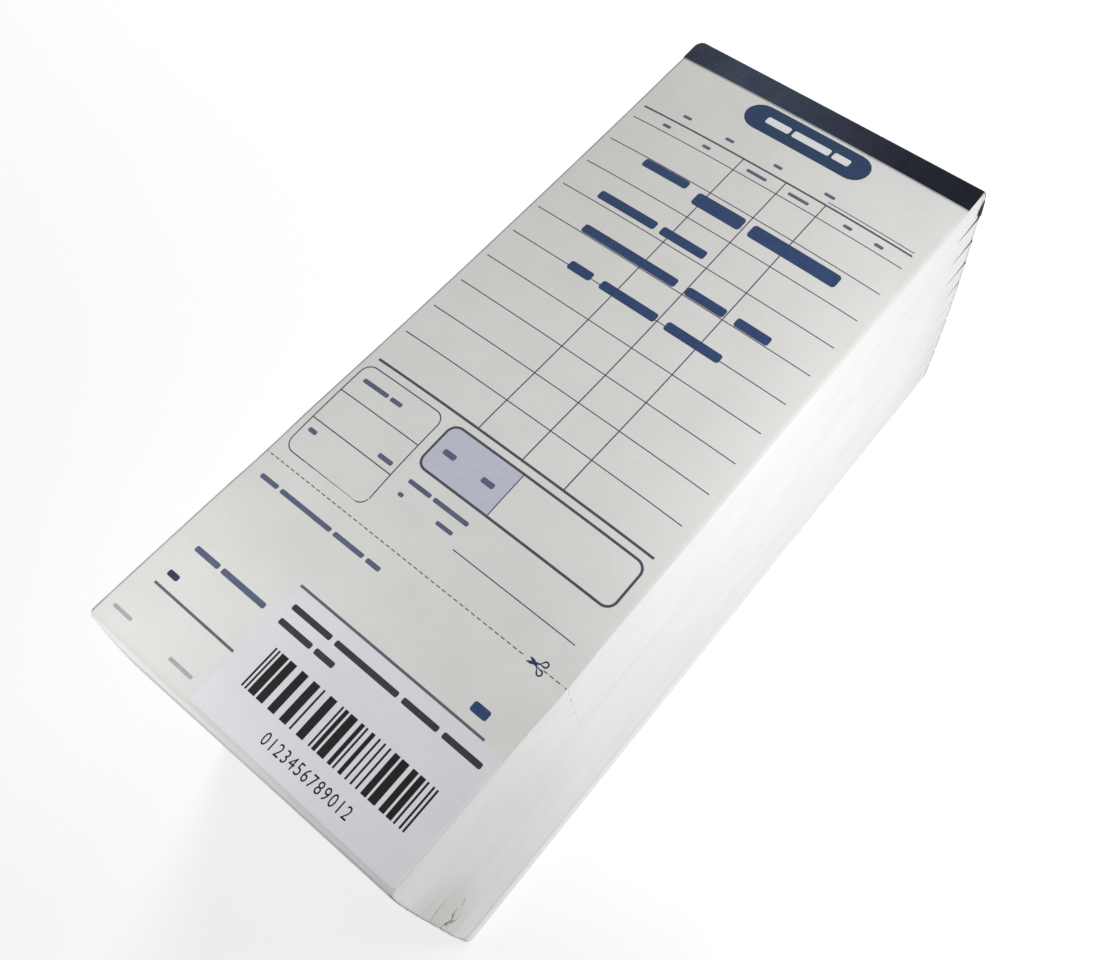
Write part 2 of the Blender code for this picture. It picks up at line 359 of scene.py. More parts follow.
def stack(name, k, xs, ys, low, high, layers, materials, offsets, radius):
    """A closed block of leaves: faces below and above, and a wall of layers
    whose edges stand in or out by offsets(side, layer, along)."""
    nx, ny = len(xs), len(ys)
    n = nx * ny
    gx, gy = np.meshgrid(xs, ys, indexing="ij")
    index = np.arange(n).reshape(nx, ny)
    rim = rim_of(index)
    count = len(rim)
    rx, ry = gx.ravel()[rim], gy.ravel()[rim]
    out_x = (rx == xs[-1]).astype(float) - (rx == xs[0])
    out_y = (ry == ys[-1]).astype(float) - (ry == ys[0])
    bx, by = blunt(rx, ry, xs[0], xs[-1], ys[0], ys[-1], radius)
    z0, z1 = low(bx, by), high(bx, by)
    rings = []
    for i in range(layers + 1):
        t = i / layers
        right = offsets("right", i, ry)
        left = offsets("left", i, ry)
        foot = offsets("foot", i, rx)
        x = bx + np.where(out_x > 0, right, 0) - np.where(out_x < 0, left, 0)
        y = by - np.where(out_y < 0, foot, 0)
        rings.append(np.stack(shaped(k, x, y, z0 + (z1 - z0) * t), -1))
    ix, iy = blunt(gx, gy, xs[0], xs[-1], ys[0], ys[-1], radius)
    bottom = np.stack(shaped(k, ix, iy, low(ix, iy)), -1).reshape(-1, 3)
    top = np.stack(shaped(k, ix, iy, high(ix, iy)), -1).reshape(-1, 3)
    bottom[rim], top[rim] = rings[0], rings[-1]
    points = np.concatenate([bottom, top] + rings[1:-1])
    ids = [rim] + [2 * n + i * count + np.arange(count) for i in range(layers - 1)] + [rim + n]
    over = grid_faces(index)
    faces = [over[:, ::-1], over + n]
    for a, b in zip(ids[:-1], ids[1:]):
        faces.append(np.stack([a, np.roll(a, -1), np.roll(b, -1), b], 1))
    faces = np.concatenate(faces)
    m = 2 * len(over)
    slots = np.zeros(len(faces), int)
    slots[m:] = min(1, len(materials) - 1)
    # map: both faces side by side, then the four sides as upright strips
    w, l = xs[-1] - xs[0], ys[-1] - ys[0]
    tall = float(np.max(z1 - z0)) + 0.5
    s = 1.0 / (2 * w + 4 + 4 * (tall + 1.5))
    s = min(s, 1.0 / (l + 3))
    flat = np.stack([gx - xs[0], gy - ys[0]], -1).reshape(-1, 2)
    corners = np.concatenate([flat + 1.0, flat + [w + 2.5, 1.0]]) * s
    uvs = np.zeros((len(faces), 4, 2))
    uvs[:m] = corners[faces[:m]]
    part = np.concatenate([np.full(nx - 1, 0), np.full(ny - 1, 1), np.full(nx - 1, 2), np.full(ny - 1, 3)])
    start = 2 * w + 4 + part * (tall + 1.5)
    along_a = np.where(part % 2 == 0, rx - xs[0], ry - ys[0])
    nx_x, nx_y = np.roll(rx, -1), np.roll(ry, -1)
    along_b = np.where(part % 2 == 0, nx_x - xs[0], nx_y - ys[0])
    for i in range(layers):
        block = slice(m + i * count, m + (i + 1) * count)
        za, zb = tall * i / layers, tall * (i + 1) / layers
        uvs[block, 0] = np.stack([start + za, along_a + 1], 1) * s
        uvs[block, 1] = np.stack([start + za, along_b + 1], 1) * s
        uvs[block, 2] = np.stack([start + zb, along_b + 1], 1) * s
        uvs[block, 3] = np.stack([start + zb, along_a + 1], 1) * s
    return make(name, points, faces.tolist(), materials, uvs.reshape(-1, 2), slots)


# ---------------------------------------------------------------- materials
def new_material(name):
    mat = bpy.data.materials.new(name)
    mat.use_nodes = True
    nt = mat.node_tree
    for n in list(nt.nodes):
        nt.nodes.remove(n)
    out = nt.nodes.new("ShaderNodeOutputMaterial")
    bsdf = nt.nodes.new("ShaderNodeBsdfPrincipled")
    nt.links.new(bsdf.outputs[0], out.inputs["Surface"])
    return mat, nt, bsdf


def coords(nt, scale):
    tex = nt.nodes.new("ShaderNodeTexCoord")
    mapping = nt.nodes.new("ShaderNodeMapping")
    mapping.inputs["Scale"].default_value = scale
    nt.links.new(tex.outputs["Object"], mapping.inputs["Vector"])
    return mapping.outputs[0]


def noise(nt, vector, scale, detail=3.0, rough=0.55):
    n = nt.nodes.new("ShaderNodeTexNoise")
    n.inputs["Scale"].default_value = scale
    n.inputs["Detail"].default_value = detail
    n.inputs["Roughness"].default_value = rough
    nt.links.new(vector, n.inputs["Vector"])
    return n.outputs["Fac"]


def ramp(nt, fac, stops):
    n = nt.nodes.new("ShaderNodeValToRGB")
    el = n.color_ramp.elements
    while len(el) < len(stops):
        el.new(0.5)
    for e, (pos, colour) in zip(el, stops):
        e.position = pos
        e.color = (*colour, 1.0)
    nt.links.new(fac, n.inputs["Fac"])
    return n.outputs["Color"]


def mix(nt, fac, a, b, kind="MIX"):
    n = nt.nodes.new("ShaderNodeMix")
    n.data_type = "RGBA"
    n.blend_type = kind
    for socket, value in ((n.inputs[0], fac), (n.inputs[6], a), (n.inputs[7], b)):
        if isinstance(value, bpy.types.NodeSocket):
            nt.links.new(value, socket)
        else:
            socket.default_value = (*value, 1.0) if isinstance(value, tuple) else value
    return n.outputs[2]


def map_range(nt, value, low, high, to_low, to_high):
    n = nt.nodes.new("ShaderNodeMapRange")
    nt.links.new(value, n.inputs["Value"])
    for key, v in (("From Min", low), ("From Max", high), ("To Min", to_low), ("To Max", to_high)):
        n.inputs[key].default_value = v
    return n.outputs["Result"]


def bump(nt, bsdf, height, strength, distance):
    n = nt.nodes.new("ShaderNodeBump")
    n.inputs["Strength"].default_value = strength
    n.inputs["Distance"].default_value = distance
    nt.links.new(height, n.inputs["Height"])
    nt.links.new(n.outputs[0], bsdf.inputs["Normal"])


def near_spot(nt, centre, reach):
    """Distance from a point of the object, 1 at the given reach."""
    mapping = nt.nodes.new("ShaderNodeMapping")
    mapping.inputs["Scale"].default_value = tuple(1 / (r * MM) for r in reach)
    mapping.inputs["Location"].default_value = tuple(-c / r for c, r in zip(centre, reach))
    nt.links.new(coords(nt, (1.0, 1.0, 1.0)), mapping.inputs["Vector"])
    length = nt.nodes.new("ShaderNodeVectorMath")
    length.operation = "LENGTH"
    nt.links.new(mapping.outputs[0], length.inputs[0])
    return length.outputs["Value"]


def paper_material(name, low, base, high, rough, specular, fleck, worn=False, painted_edge_light=False):
    """Uncoated paper: cloudy formation, fine fibres and a few flecks. The top
    leaf's paper carries painted shade along its left edge and towards the far
    left, is a little darker below the perforation, and has a painted
    highlight towards its right edge. The label's paper is a little darker in
    the middle and has a painted highlight, paler and less tinted, along its
    right edge."""
    mat, nt, bsdf = new_material(name)
    at = coords(nt, (1.0, 1.0, 1.0))
    cloud = noise(nt, at, 95.0, 3.0, 0.6)
    fibre = noise(nt, at, 1500.0, 4.0, 0.7)
    colour = ramp(nt, cloud, [(0.30, low), (0.52, base), (0.72, high)])
    grain = ramp(nt, fibre, [(0.25, (0.955, 0.955, 0.95)), (0.75, (1.0, 1.0, 1.0))])
    colour = mix(nt, 1.0, colour, grain, "MULTIPLY")
    if fleck:
        spots = noise(nt, at, 520.0, 1.0, 0.4)
        dots = ramp(nt, spots, [(0.735, (0, 0, 0)), (0.78, (fleck,) * 3)])
        colour = mix(nt, dots, colour, (0.30, 0.29, 0.26))
    # paper with painted light and shade, for the top leaf and the slip
    if worn:
        # painted shade towards the far left
        far = near_spot(nt, (-40.0, 66.0, 72.0), (62.0, 70.0, 90.0))
        darkening = ramp(nt, far, [(0.10, (0.935, 0.935, 0.915)), (1.0, (1.0, 1.0, 1.0))])
        colour = mix(nt, 1.0, colour, darkening, "MULTIPLY")
        # a little darker below the perforation
        slip = near_spot(nt, (14.0, -55.0, 72.0), (64.0, 12.0, 30.0))
        darkening = ramp(nt, slip, [(0.10, (0.952, 0.952, 0.952)), (1.0, (1.0, 1.0, 1.0))])
        colour = mix(nt, 1.0, colour, darkening, "MULTIPLY")
        # painted shade along the left edge, patchy
        spot = nt.nodes.new("ShaderNodeUVMap")
        spot.uv_map = UV
        split = nt.nodes.new("ShaderNodeSeparateXYZ")
        nt.links.new(spot.outputs[0], split.inputs[0])
        left = map_range(nt, split.outputs["X"], 1.28 / SHEET_MAP, 1.52 / SHEET_MAP, 1.0, 0.0)
        patchy = map_range(nt, noise(nt, at, 160.0, 3.0, 0.6), 0.3, 0.6, 0.42, 0.66)
        shade_paint = nt.nodes.new("ShaderNodeMath")
        shade_paint.operation = "MULTIPLY"
        nt.links.new(left, shade_paint.inputs[0])
        nt.links.new(patchy, shade_paint.inputs[1])
        colour = mix(nt, shade_paint.outputs[0], colour, (0.10, 0.10, 0.105))
        # painted highlight towards the right edge
        light_paint = near_spot(nt, (39.0, 4.0, 72.0), (17.0, 60.0, 40.0))
        colour = mix(nt, map_range(nt, light_paint, 0.25, 1.0, 0.62, 0.0), colour, (0.785, 0.786, 0.768))
    # label paper: a little darker in the middle, painted highlight along the right edge
    if painted_edge_light:
        darker_spot = near_spot(nt, (4.0, -75.0, 72.0), (24.0, 11.0, 30.0))
        darkening = ramp(nt, darker_spot, [(0.15, (0.945, 0.945, 0.95)), (1.0, (1.0, 1.0, 1.0))])
        colour = mix(nt, 1.0, colour, darkening, "MULTIPLY")
        # painted highlight along the right edge, paler and less tinted
        split = nt.nodes.new("ShaderNodeSeparateXYZ")
        nt.links.new(at, split.inputs[0])
        colour = mix(nt, map_range(nt, split.outputs["X"], 0.0366, 0.0371, 0.0, 0.8), colour, (0.80, 0.80, 0.79))
    nt.links.new(colour, bsdf.inputs["Base Color"])
    nt.links.new(map_range(nt, fibre, 0.3, 0.7, *rough), bsdf.inputs["Roughness"])
    bsdf.inputs["Specular IOR Level"].default_value = specular
    bump(nt, bsdf, fibre, 0.16, 0.00006)
    return mat


def maths(nt, kind, a, b):
    n = nt.nodes.new("ShaderNodeMath")
    n.operation = kind
    nt.links.new(a, n.inputs[0])
    nt.links.new(b, n.inputs[1])
    return n.outputs[0]


def foot_shade_paint(nt, colour):
    """Paints shade on the trimmed foot along its upper rim and up its right
    corner, darkest at the tip of the corner's rounding.
    """
    geometry = nt.nodes.new("ShaderNodeNewGeometry")
    facing = nt.nodes.new("ShaderNodeSeparateXYZ")
    nt.links.new(geometry.outputs["Normal"], facing.inputs[0])
    place = nt.nodes.new("ShaderNodeSeparateXYZ")
    nt.links.new(coords(nt, (1.0, 1.0, 1.0)), place.inputs[0])
    foot = map_range(nt, facing.outputs["Y"], -0.85, -0.55, 1.0, 0.0)
    rim = map_range(nt, place.outputs["Z"], 0.062, 0.068, 0.0, 1.0)
    corner = map_range(nt, place.outputs["X"], 0.0345, 0.0365, 0.0, 1.0)
    where = maths(nt, "MULTIPLY", foot, maths(nt, "MAXIMUM", rim, corner))
    amount = map_range(nt, place.outputs["X"], -0.030, 0.030, 0.06, 0.44)
    colour = mix(nt, maths(nt, "MULTIPLY", where, amount), colour, (0.16, 0.16, 0.155))
    # painted shade at the rounded tip of the corner
    bend = map_range(nt, facing.outputs["Y"], -0.85, -0.50, 0.60, 0.0)
    tip = map_range(nt, place.outputs["X"], 0.0367, 0.0370, 0.0, 1.0)
    return mix(nt, maths(nt, "MULTIPLY", bend, tip), colour, (0.10, 0.10, 0.095))


def split_shade_paint(nt, colour):
    """Paints shade on the insides of the splits at the near right corner."""
    place = nt.nodes.new("ShaderNodeSeparateXYZ")
    nt.links.new(coords(nt, (1.0, 1.0, 1.0)), place.inputs[0])
    deep = map_range(nt, place.outputs["X"], 0.0367, 0.0371, 1.0, 0.0)
    behind = map_range(nt, place.outputs["Y"], -0.08912, -0.08902, 0.0, 1.0)
    region = map_range(nt, near_spot(nt, (37.5, -85.0, 33.0), (7.0, 8.0, 15.0)), 0.95, 1.0, 0.88, 0.0)
    inside = maths(nt, "MULTIPLY", maths(nt, "MULTIPLY", deep, behind), region)
    return mix(nt, inside, colour, (0.05, 0.05, 0.045))


def low_pad_light_and_shadow(nt, colour):
    """On the right side the lowest pad is painted lighter than the rest towards
    the foot, painted light, with a painted seam shadow below the seam above it."""
    place = nt.nodes.new("ShaderNodeSeparateXYZ")
    nt.links.new(coords(nt, (1.0, 1.0, 1.0)), place.inputs[0])
    geometry = nt.nodes.new("ShaderNodeNewGeometry")
    facing = nt.nodes.new("ShaderNodeSeparateXYZ")
    nt.links.new(geometry.outputs["Normal"], facing.inputs[0])
    near = map_range(nt, place.outputs["Y"], -0.080, 0.030, 1.0, 0.10)
    near = maths(nt, "MULTIPLY", near, map_range(nt, facing.outputs["X"], 0.2, 0.6, 0.0, 1.0))
    # painted light on the lowest pad
    light_paint = map_range(nt, place.outputs["Z"], 0.0030, 0.0052, 0.55, 0.0)
    colour = mix(nt, maths(nt, "MULTIPLY", light_paint, near), colour, (0.975, 0.975, 0.97))
    # painted seam shadow below the seam above
    below = map_range(nt, place.outputs["Z"], 0.0042, 0.0056, 0.0, 0.11)
    above = map_range(nt, place.outputs["Z"], 0.0062, 0.0082, 1.0, 0.0)
    seam = maths(nt, "MULTIPLY", maths(nt, "MULTIPLY", below, above), near)
    return mix(nt, seam, colour, (0.16, 0.16, 0.155))


def side_light_and_shade_paint(nt, colour):
    """Paints shade on the trimmed edges: most at the near right corner, then
    towards the foot, low at the head and along the top at the head; adds the
    lowest pad's painted light and seam shadow and the foot's painted shade.
    """
    # painted shade at the near right corner
    spot = near_spot(nt, (37.5, -89.5, 36.0), (14.0, 12.0, 24.0))
    shade_paint = ramp(nt, spot, [(0.10, (0.87, 0.87, 0.855)), (0.50, (0.905, 0.905, 0.895)), (1.0, (1.0, 1.0, 1.0))])
    colour = mix(nt, 1.0, colour, shade_paint, "MULTIPLY")
    # painted shade towards the foot end of the side
    wide = near_spot(nt, (37.5, -80.0, 40.0), (20.0, 34.0, 42.0))
    grey = ramp(nt, wide, [(0.0, (0.90, 0.90, 0.895)), (0.5, (0.925, 0.925, 0.92)), (0.8, (0.965, 0.965, 0.962)), (1.0, (1.0, 1.0, 1.0))])
    colour = mix(nt, 1.0, colour, grey, "MULTIPLY")
    # painted shade low down at the head end
    end = near_spot(nt, (37.5, 90.0, 14.0), (20.0, 24.0, 44.0))
    darker_spot = ramp(nt, end, [(0.0, (0.90, 0.90, 0.895)), (1.0, (1.0, 1.0, 1.0))])
    colour = mix(nt, 1.0, colour, darker_spot, "MULTIPLY")
    colour = low_pad_light_and_shadow(nt, colour)
    # painted shade along the top towards the head
    far = near_spot(nt, (37.5, 92.0, 72.0), (60.0, 100.0, 44.0))
    darkening = ramp(nt, far, [(0.10, (0.892, 0.892, 0.900)), (0.95, (1.0, 1.0, 1.0))])
    colour = mix(nt, 1.0, colour, darkening, "MULTIPLY")
    return foot_shade_paint(nt, colour)


def edge_material(name, dark, base, light):
    """Trimmed edges of many leaves: fine streaks along the length, with
    painted shade at the foot and the near right corner and painted light on
    the lowest pad."""
    mat, nt, bsdf = new_material(name)
    lines = noise(nt, coords(nt, (0.006, 0.006, 1.0)), 6500.0, 2.0, 0.6)
    bands = noise(nt, coords(nt, (0.012, 0.012, 1.0)), 900.0, 2.0, 0.5)
    patch = noise(nt, coords(nt, (1.0, 1.0, 2.0)), 60.0, 3.0, 0.55)
    colour = ramp(nt, lines, [(0.30, dark), (0.50, base), (0.70, light)])
    shade = ramp(nt, bands, [(0.30, (0.972, 0.972, 0.968)), (0.65, (1.0, 1.0, 1.0))])
    colour = mix(nt, 1.0, colour, shade, "MULTIPLY")
    tone = ramp(nt, patch, [(0.30, (0.965, 0.962, 0.95)), (0.65, (1.0, 1.0, 1.0))])
    colour = mix(nt, 1.0, colour, tone, "MULTIPLY")
    # painted light and shade on the edges, painted shade in the splits
    colour = split_shade_paint(nt, side_light_and_shade_paint(nt, colour))
    nt.links.new(colour, bsdf.inputs["Base Color"])
    nt.links.new(map_range(nt, lines, 0.3, 0.7, 0.80, 0.95), bsdf.inputs["Roughness"])
    bsdf.inputs["Specular IOR Level"].default_value = 0.2
    bump(nt, bsdf, lines, 0.08, 0.00005)
    return mat


def tape_material(name, painted_sheen=False):
    """Navy binding paper with a fine cloth-like emboss. The top pad's tape
    has a painted sheen: its upward faces are painted paler, most towards
    the left end."""
    mat, nt, bsdf = new_material(name)
    at = coords(nt, (1.0, 1.0, 1.0))
    cloud = noise(nt, at, 140.0, 3.0, 0.6)
    grain = noise(nt, at, 2600.0, 3.0, 0.7)
    across = noise(nt, coords(nt, (1.0, 0.10, 0.10)), 3800.0, 2.0, 0.5)
    along = noise(nt, coords(nt, (0.06, 1.0, 1.0)), 3800.0, 2.0, 0.5)
    weave = mix(nt, 0.5, across, along)
    plain = ramp(nt, cloud, [(0.30, (0.0180, 0.0235, 0.043)), (0.70, (0.027, 0.034, 0.060))])
    # painted sheen on the upward faces, brightest near the left end
    if painted_sheen:
        colour = ramp(nt, cloud, [(0.30, (0.040, 0.051, 0.086)), (0.70, (0.056, 0.069, 0.114))])
        split = nt.nodes.new("ShaderNodeSeparateXYZ")
        nt.links.new(at, split.inputs[0])
        run = map_range(nt, split.outputs["X"], -HALF_W * MM, HALF_W * MM, 0.0, 1.0)
        stops = [(0.0, 0.74), (0.16, 0.92), (0.25, 1.0), (0.38, 0.84), (0.58, 0.56), (0.76, 0.31), (0.95, 0.21)]
        colour = mix(nt, 1.0, colour, ramp(nt, run, [(t, (f, f, f)) for t, f in stops]), "MULTIPLY")
        geometry = nt.nodes.new("ShaderNodeNewGeometry")
        facing = nt.nodes.new("ShaderNodeSeparateXYZ")
        nt.links.new(geometry.outputs["Normal"], facing.inputs[0])
        colour = mix(nt, map_range(nt, facing.outputs["Z"], 0.35, 0.80, 0.0, 1.0), plain, colour)
    else:
        colour = plain
    threads = ramp(nt, weave, [(0.36, (0.72, 0.72, 0.74)), (0.64, (1.0, 1.0, 1.0))])
    colour = mix(nt, 1.0, colour, threads, "MULTIPLY")
    nt.links.new(colour, bsdf.inputs["Base Color"])
    nt.links.new(map_range(nt, grain, 0.3, 0.7, 0.50, 0.66), bsdf.inputs["Roughness"])
    bsdf.inputs["Specular IOR Level"].default_value = 0.07
    bump(nt, bsdf, weave, 0.30, 0.00006)
    return mat


def ink_material(name, colour, spread=0.12, rough=0.62):
    """Printing ink: a thin film whose density wanders a little."""
    mat, nt, bsdf = new_material(name)
    density = noise(nt, coords(nt, (1.0, 1.0, 1.0)), 900.0, 3.0, 0.6)
    low = tuple(c * (1 - spread) for c in colour)
    high = tuple(c * (1 + spread) + 0.003 for c in colour)
    nt.links.new(ramp(nt, density, [(0.3, low), (0.7, high)]), bsdf.inputs["Base Color"])
    gloss = map_range(nt, density, 0.3, 0.7, rough - 0.06, rough + 0.06)
    nt.links.new(gloss, bsdf.inputs["Roughness"])
    bsdf.inputs["Specular IOR Level"].default_value = 0.12
    return mat


def board_material(name):
    """Greyboard: recycled fibres, darker flecks, paler cut edges with the
    painted light and shade of the leaf edges.
    """
    mat, nt, bsdf = new_material(name)
    at = coords(nt, (1.0, 1.0, 1.0))
    cloud = noise(nt, at, 70.0, 3.0, 0.6)
    fibre = noise(nt, coords(nt, (1.0, 0.35, 1.0)), 1400.0, 4.0, 0.7)
    colour = ramp(nt, cloud, [(0.3, (0.44, 0.425, 0.39)), (0.7, (0.53, 0.515, 0.48))])
    strands = ramp(nt, fibre, [(0.3, (0.80, 0.80, 0.79)), (0.7, (1.0, 1.0, 1.0))])
    colour = mix(nt, 1.0, colour, strands, "MULTIPLY")
    spots = noise(nt, at, 700.0, 1.0, 0.4)
    dots = ramp(nt, spots, [(0.70, (0, 0, 0)), (0.76, (0.45,) * 3)])
    colour = mix(nt, dots, colour, (0.16, 0.15, 0.14))
    geometry = nt.nodes.new("ShaderNodeNewGeometry")
    split = nt.nodes.new("ShaderNodeSeparateXYZ")
    nt.links.new(geometry.outputs["Normal"], split.inputs[0])
    upright = nt.nodes.new("ShaderNodeMath")
    upright.operation = "ABSOLUTE"
    nt.links.new(split.outputs["Z"], upright.inputs[0])
    lines = noise(nt, coords(nt, (0.006, 0.006, 1.0)), 7000.0, 2.0, 0.6)
    edge = ramp(nt, lines, [(0.3, (0.79, 0.789, 0.784)), (0.7, (0.86, 0.859, 0.854))])
    colour = mix(nt, map_range(nt, upright.outputs[0], 0.5, 0.8, 1.0, 0.0), colour, side_light_and_shade_paint(nt, edge))
    nt.links.new(colour, bsdf.inputs["Base Color"])
    nt.links.new(map_range(nt, fibre, 0.3, 0.7, 0.85, 0.96), bsdf.inputs["Roughness"])
    bsdf.inputs["Specular IOR Level"].default_value = 0.2
    bump(nt, bsdf, fibre, 0.3, 0.0001)
    return mat


def glue_material(name):
    """Dried white padding adhesive, a little glossy and uneven."""
    mat, nt, bsdf = new_material(name)
    cloud = noise(nt, coords(nt, (1.0, 1.0, 1.0)), 500.0, 3.0, 0.6)
    colour = ramp(nt, cloud, [(0.3, (0.76, 0.75, 0.72)), (0.7, (0.83, 0.82, 0.795))])
    nt.links.new(colour, bsdf.inputs["Base Color"])
    nt.links.new(map_range(nt, cloud, 0.3, 0.7, 0.35, 0.55), bsdf.inputs["Roughness"])
    bump(nt, bsdf, cloud, 0.25, 0.0001)
    return mat


# leaf faces are painted darker than the trimmed edges of the same paper: painted shade on the upper faces
FORM_PAPER = paper_material(
    "form_paper", (0.700, 0.701, 0.683), (0.722, 0.723, 0.704), (0.740, 0.741, 0.723), (0.74, 0.88), 0.28, 0.05
)
# top leaf and slip paper, with painted light and shade
PAPER_LIGHT_SHADE_PAINTED = paper_material(
    "form_paper_light_shade_painted", (0.700, 0.701, 0.683), (0.722, 0.723, 0.704), (0.740, 0.741, 0.723), (0.74, 0.88), 0.28, 0.05, True
)
LABEL_PAPER = paper_material(
    # label paper with a painted highlight along its right edge
    "label_paper", (0.708, 0.702, 0.752), (0.726, 0.719, 0.768), (0.740, 0.733, 0.780), (0.44, 0.56), 0.35, 0.0, painted_edge_light=True
)
# lighter than the leaf faces of the same paper; the difference is painted shade on the faces
EDGE_PAPER = edge_material("leaf_edges", (0.812, 0.812, 0.812), (0.838, 0.838, 0.838), (0.856, 0.856, 0.856))
TAPE = tape_material("navy_tape")
# the top pad's tape, with a painted sheen
TAPE_TOP = tape_material("navy_tape_painted_sheen", True)
TAPE_CORE = paper_material(
    "tape_core", (0.50, 0.52, 0.56), (0.56, 0.58, 0.62), (0.62, 0.64, 0.68), (0.80, 0.92), 0.2, 0.0
)
BOARD = board_material("grey_board")
GLUE = glue_material("padding_glue")
INK_FINE = ink_material("ink_fine", (0.070, 0.068, 0.118))
INK_DARK = ink_material("ink_dark", (0.034, 0.046, 0.098))
INK_LINE = ink_material("ink_line", (0.076, 0.079, 0.106))
INK_WEAK = ink_material("ink_line_weak", (0.125, 0.127, 0.158))
INK_PILL = ink_material("ink_heading", (0.022, 0.050, 0.113))
INK_NAVY = ink_material("ink_overprint", (0.030, 0.060, 0.155))
INK_TEXT = ink_material("ink_small", (0.105, 0.125, 0.205))
INK_TINT = ink_material("ink_tint", (0.520, 0.530, 0.625), 0.03, 0.8)
# painted shade standing for the shadow in the perforation's cuts
PERF_SHADE_PAINT = ink_material("perforation_shade_paint", (0.155, 0.155, 0.157))
INK_SOOT = ink_material("ink_soot", (0.045, 0.045, 0.047))
INK_PALE = ink_material("ink_pale", (0.390, 0.390, 0.412), 0.08)
INK_BLACK = ink_material("ink_black", (0.014, 0.014, 0.015), 0.1, 0.5)
INK_PAPER = ink_material("ink_knockout", (0.74, 0.75, 0.75), 0.03, 0.8)


# ---------------------------------------------------------------- print
def film_faces(tris, n):
    """Faces of a film over n points: upper triangles, lower ones, the rim."""
    tris = np.array(tris)
    edges = {(t[i], t[(i + 1) % 3]) for t in tris.tolist() for i in range(3)}
    rim = []
    for p, q in sorted(edges):
        if (q, p) not in edges:
            rim += [(p, p + n, q + n), (p, q + n, q)]
    return np.concatenate([tris, tris[:, ::-1] + n, np.array(rim)])


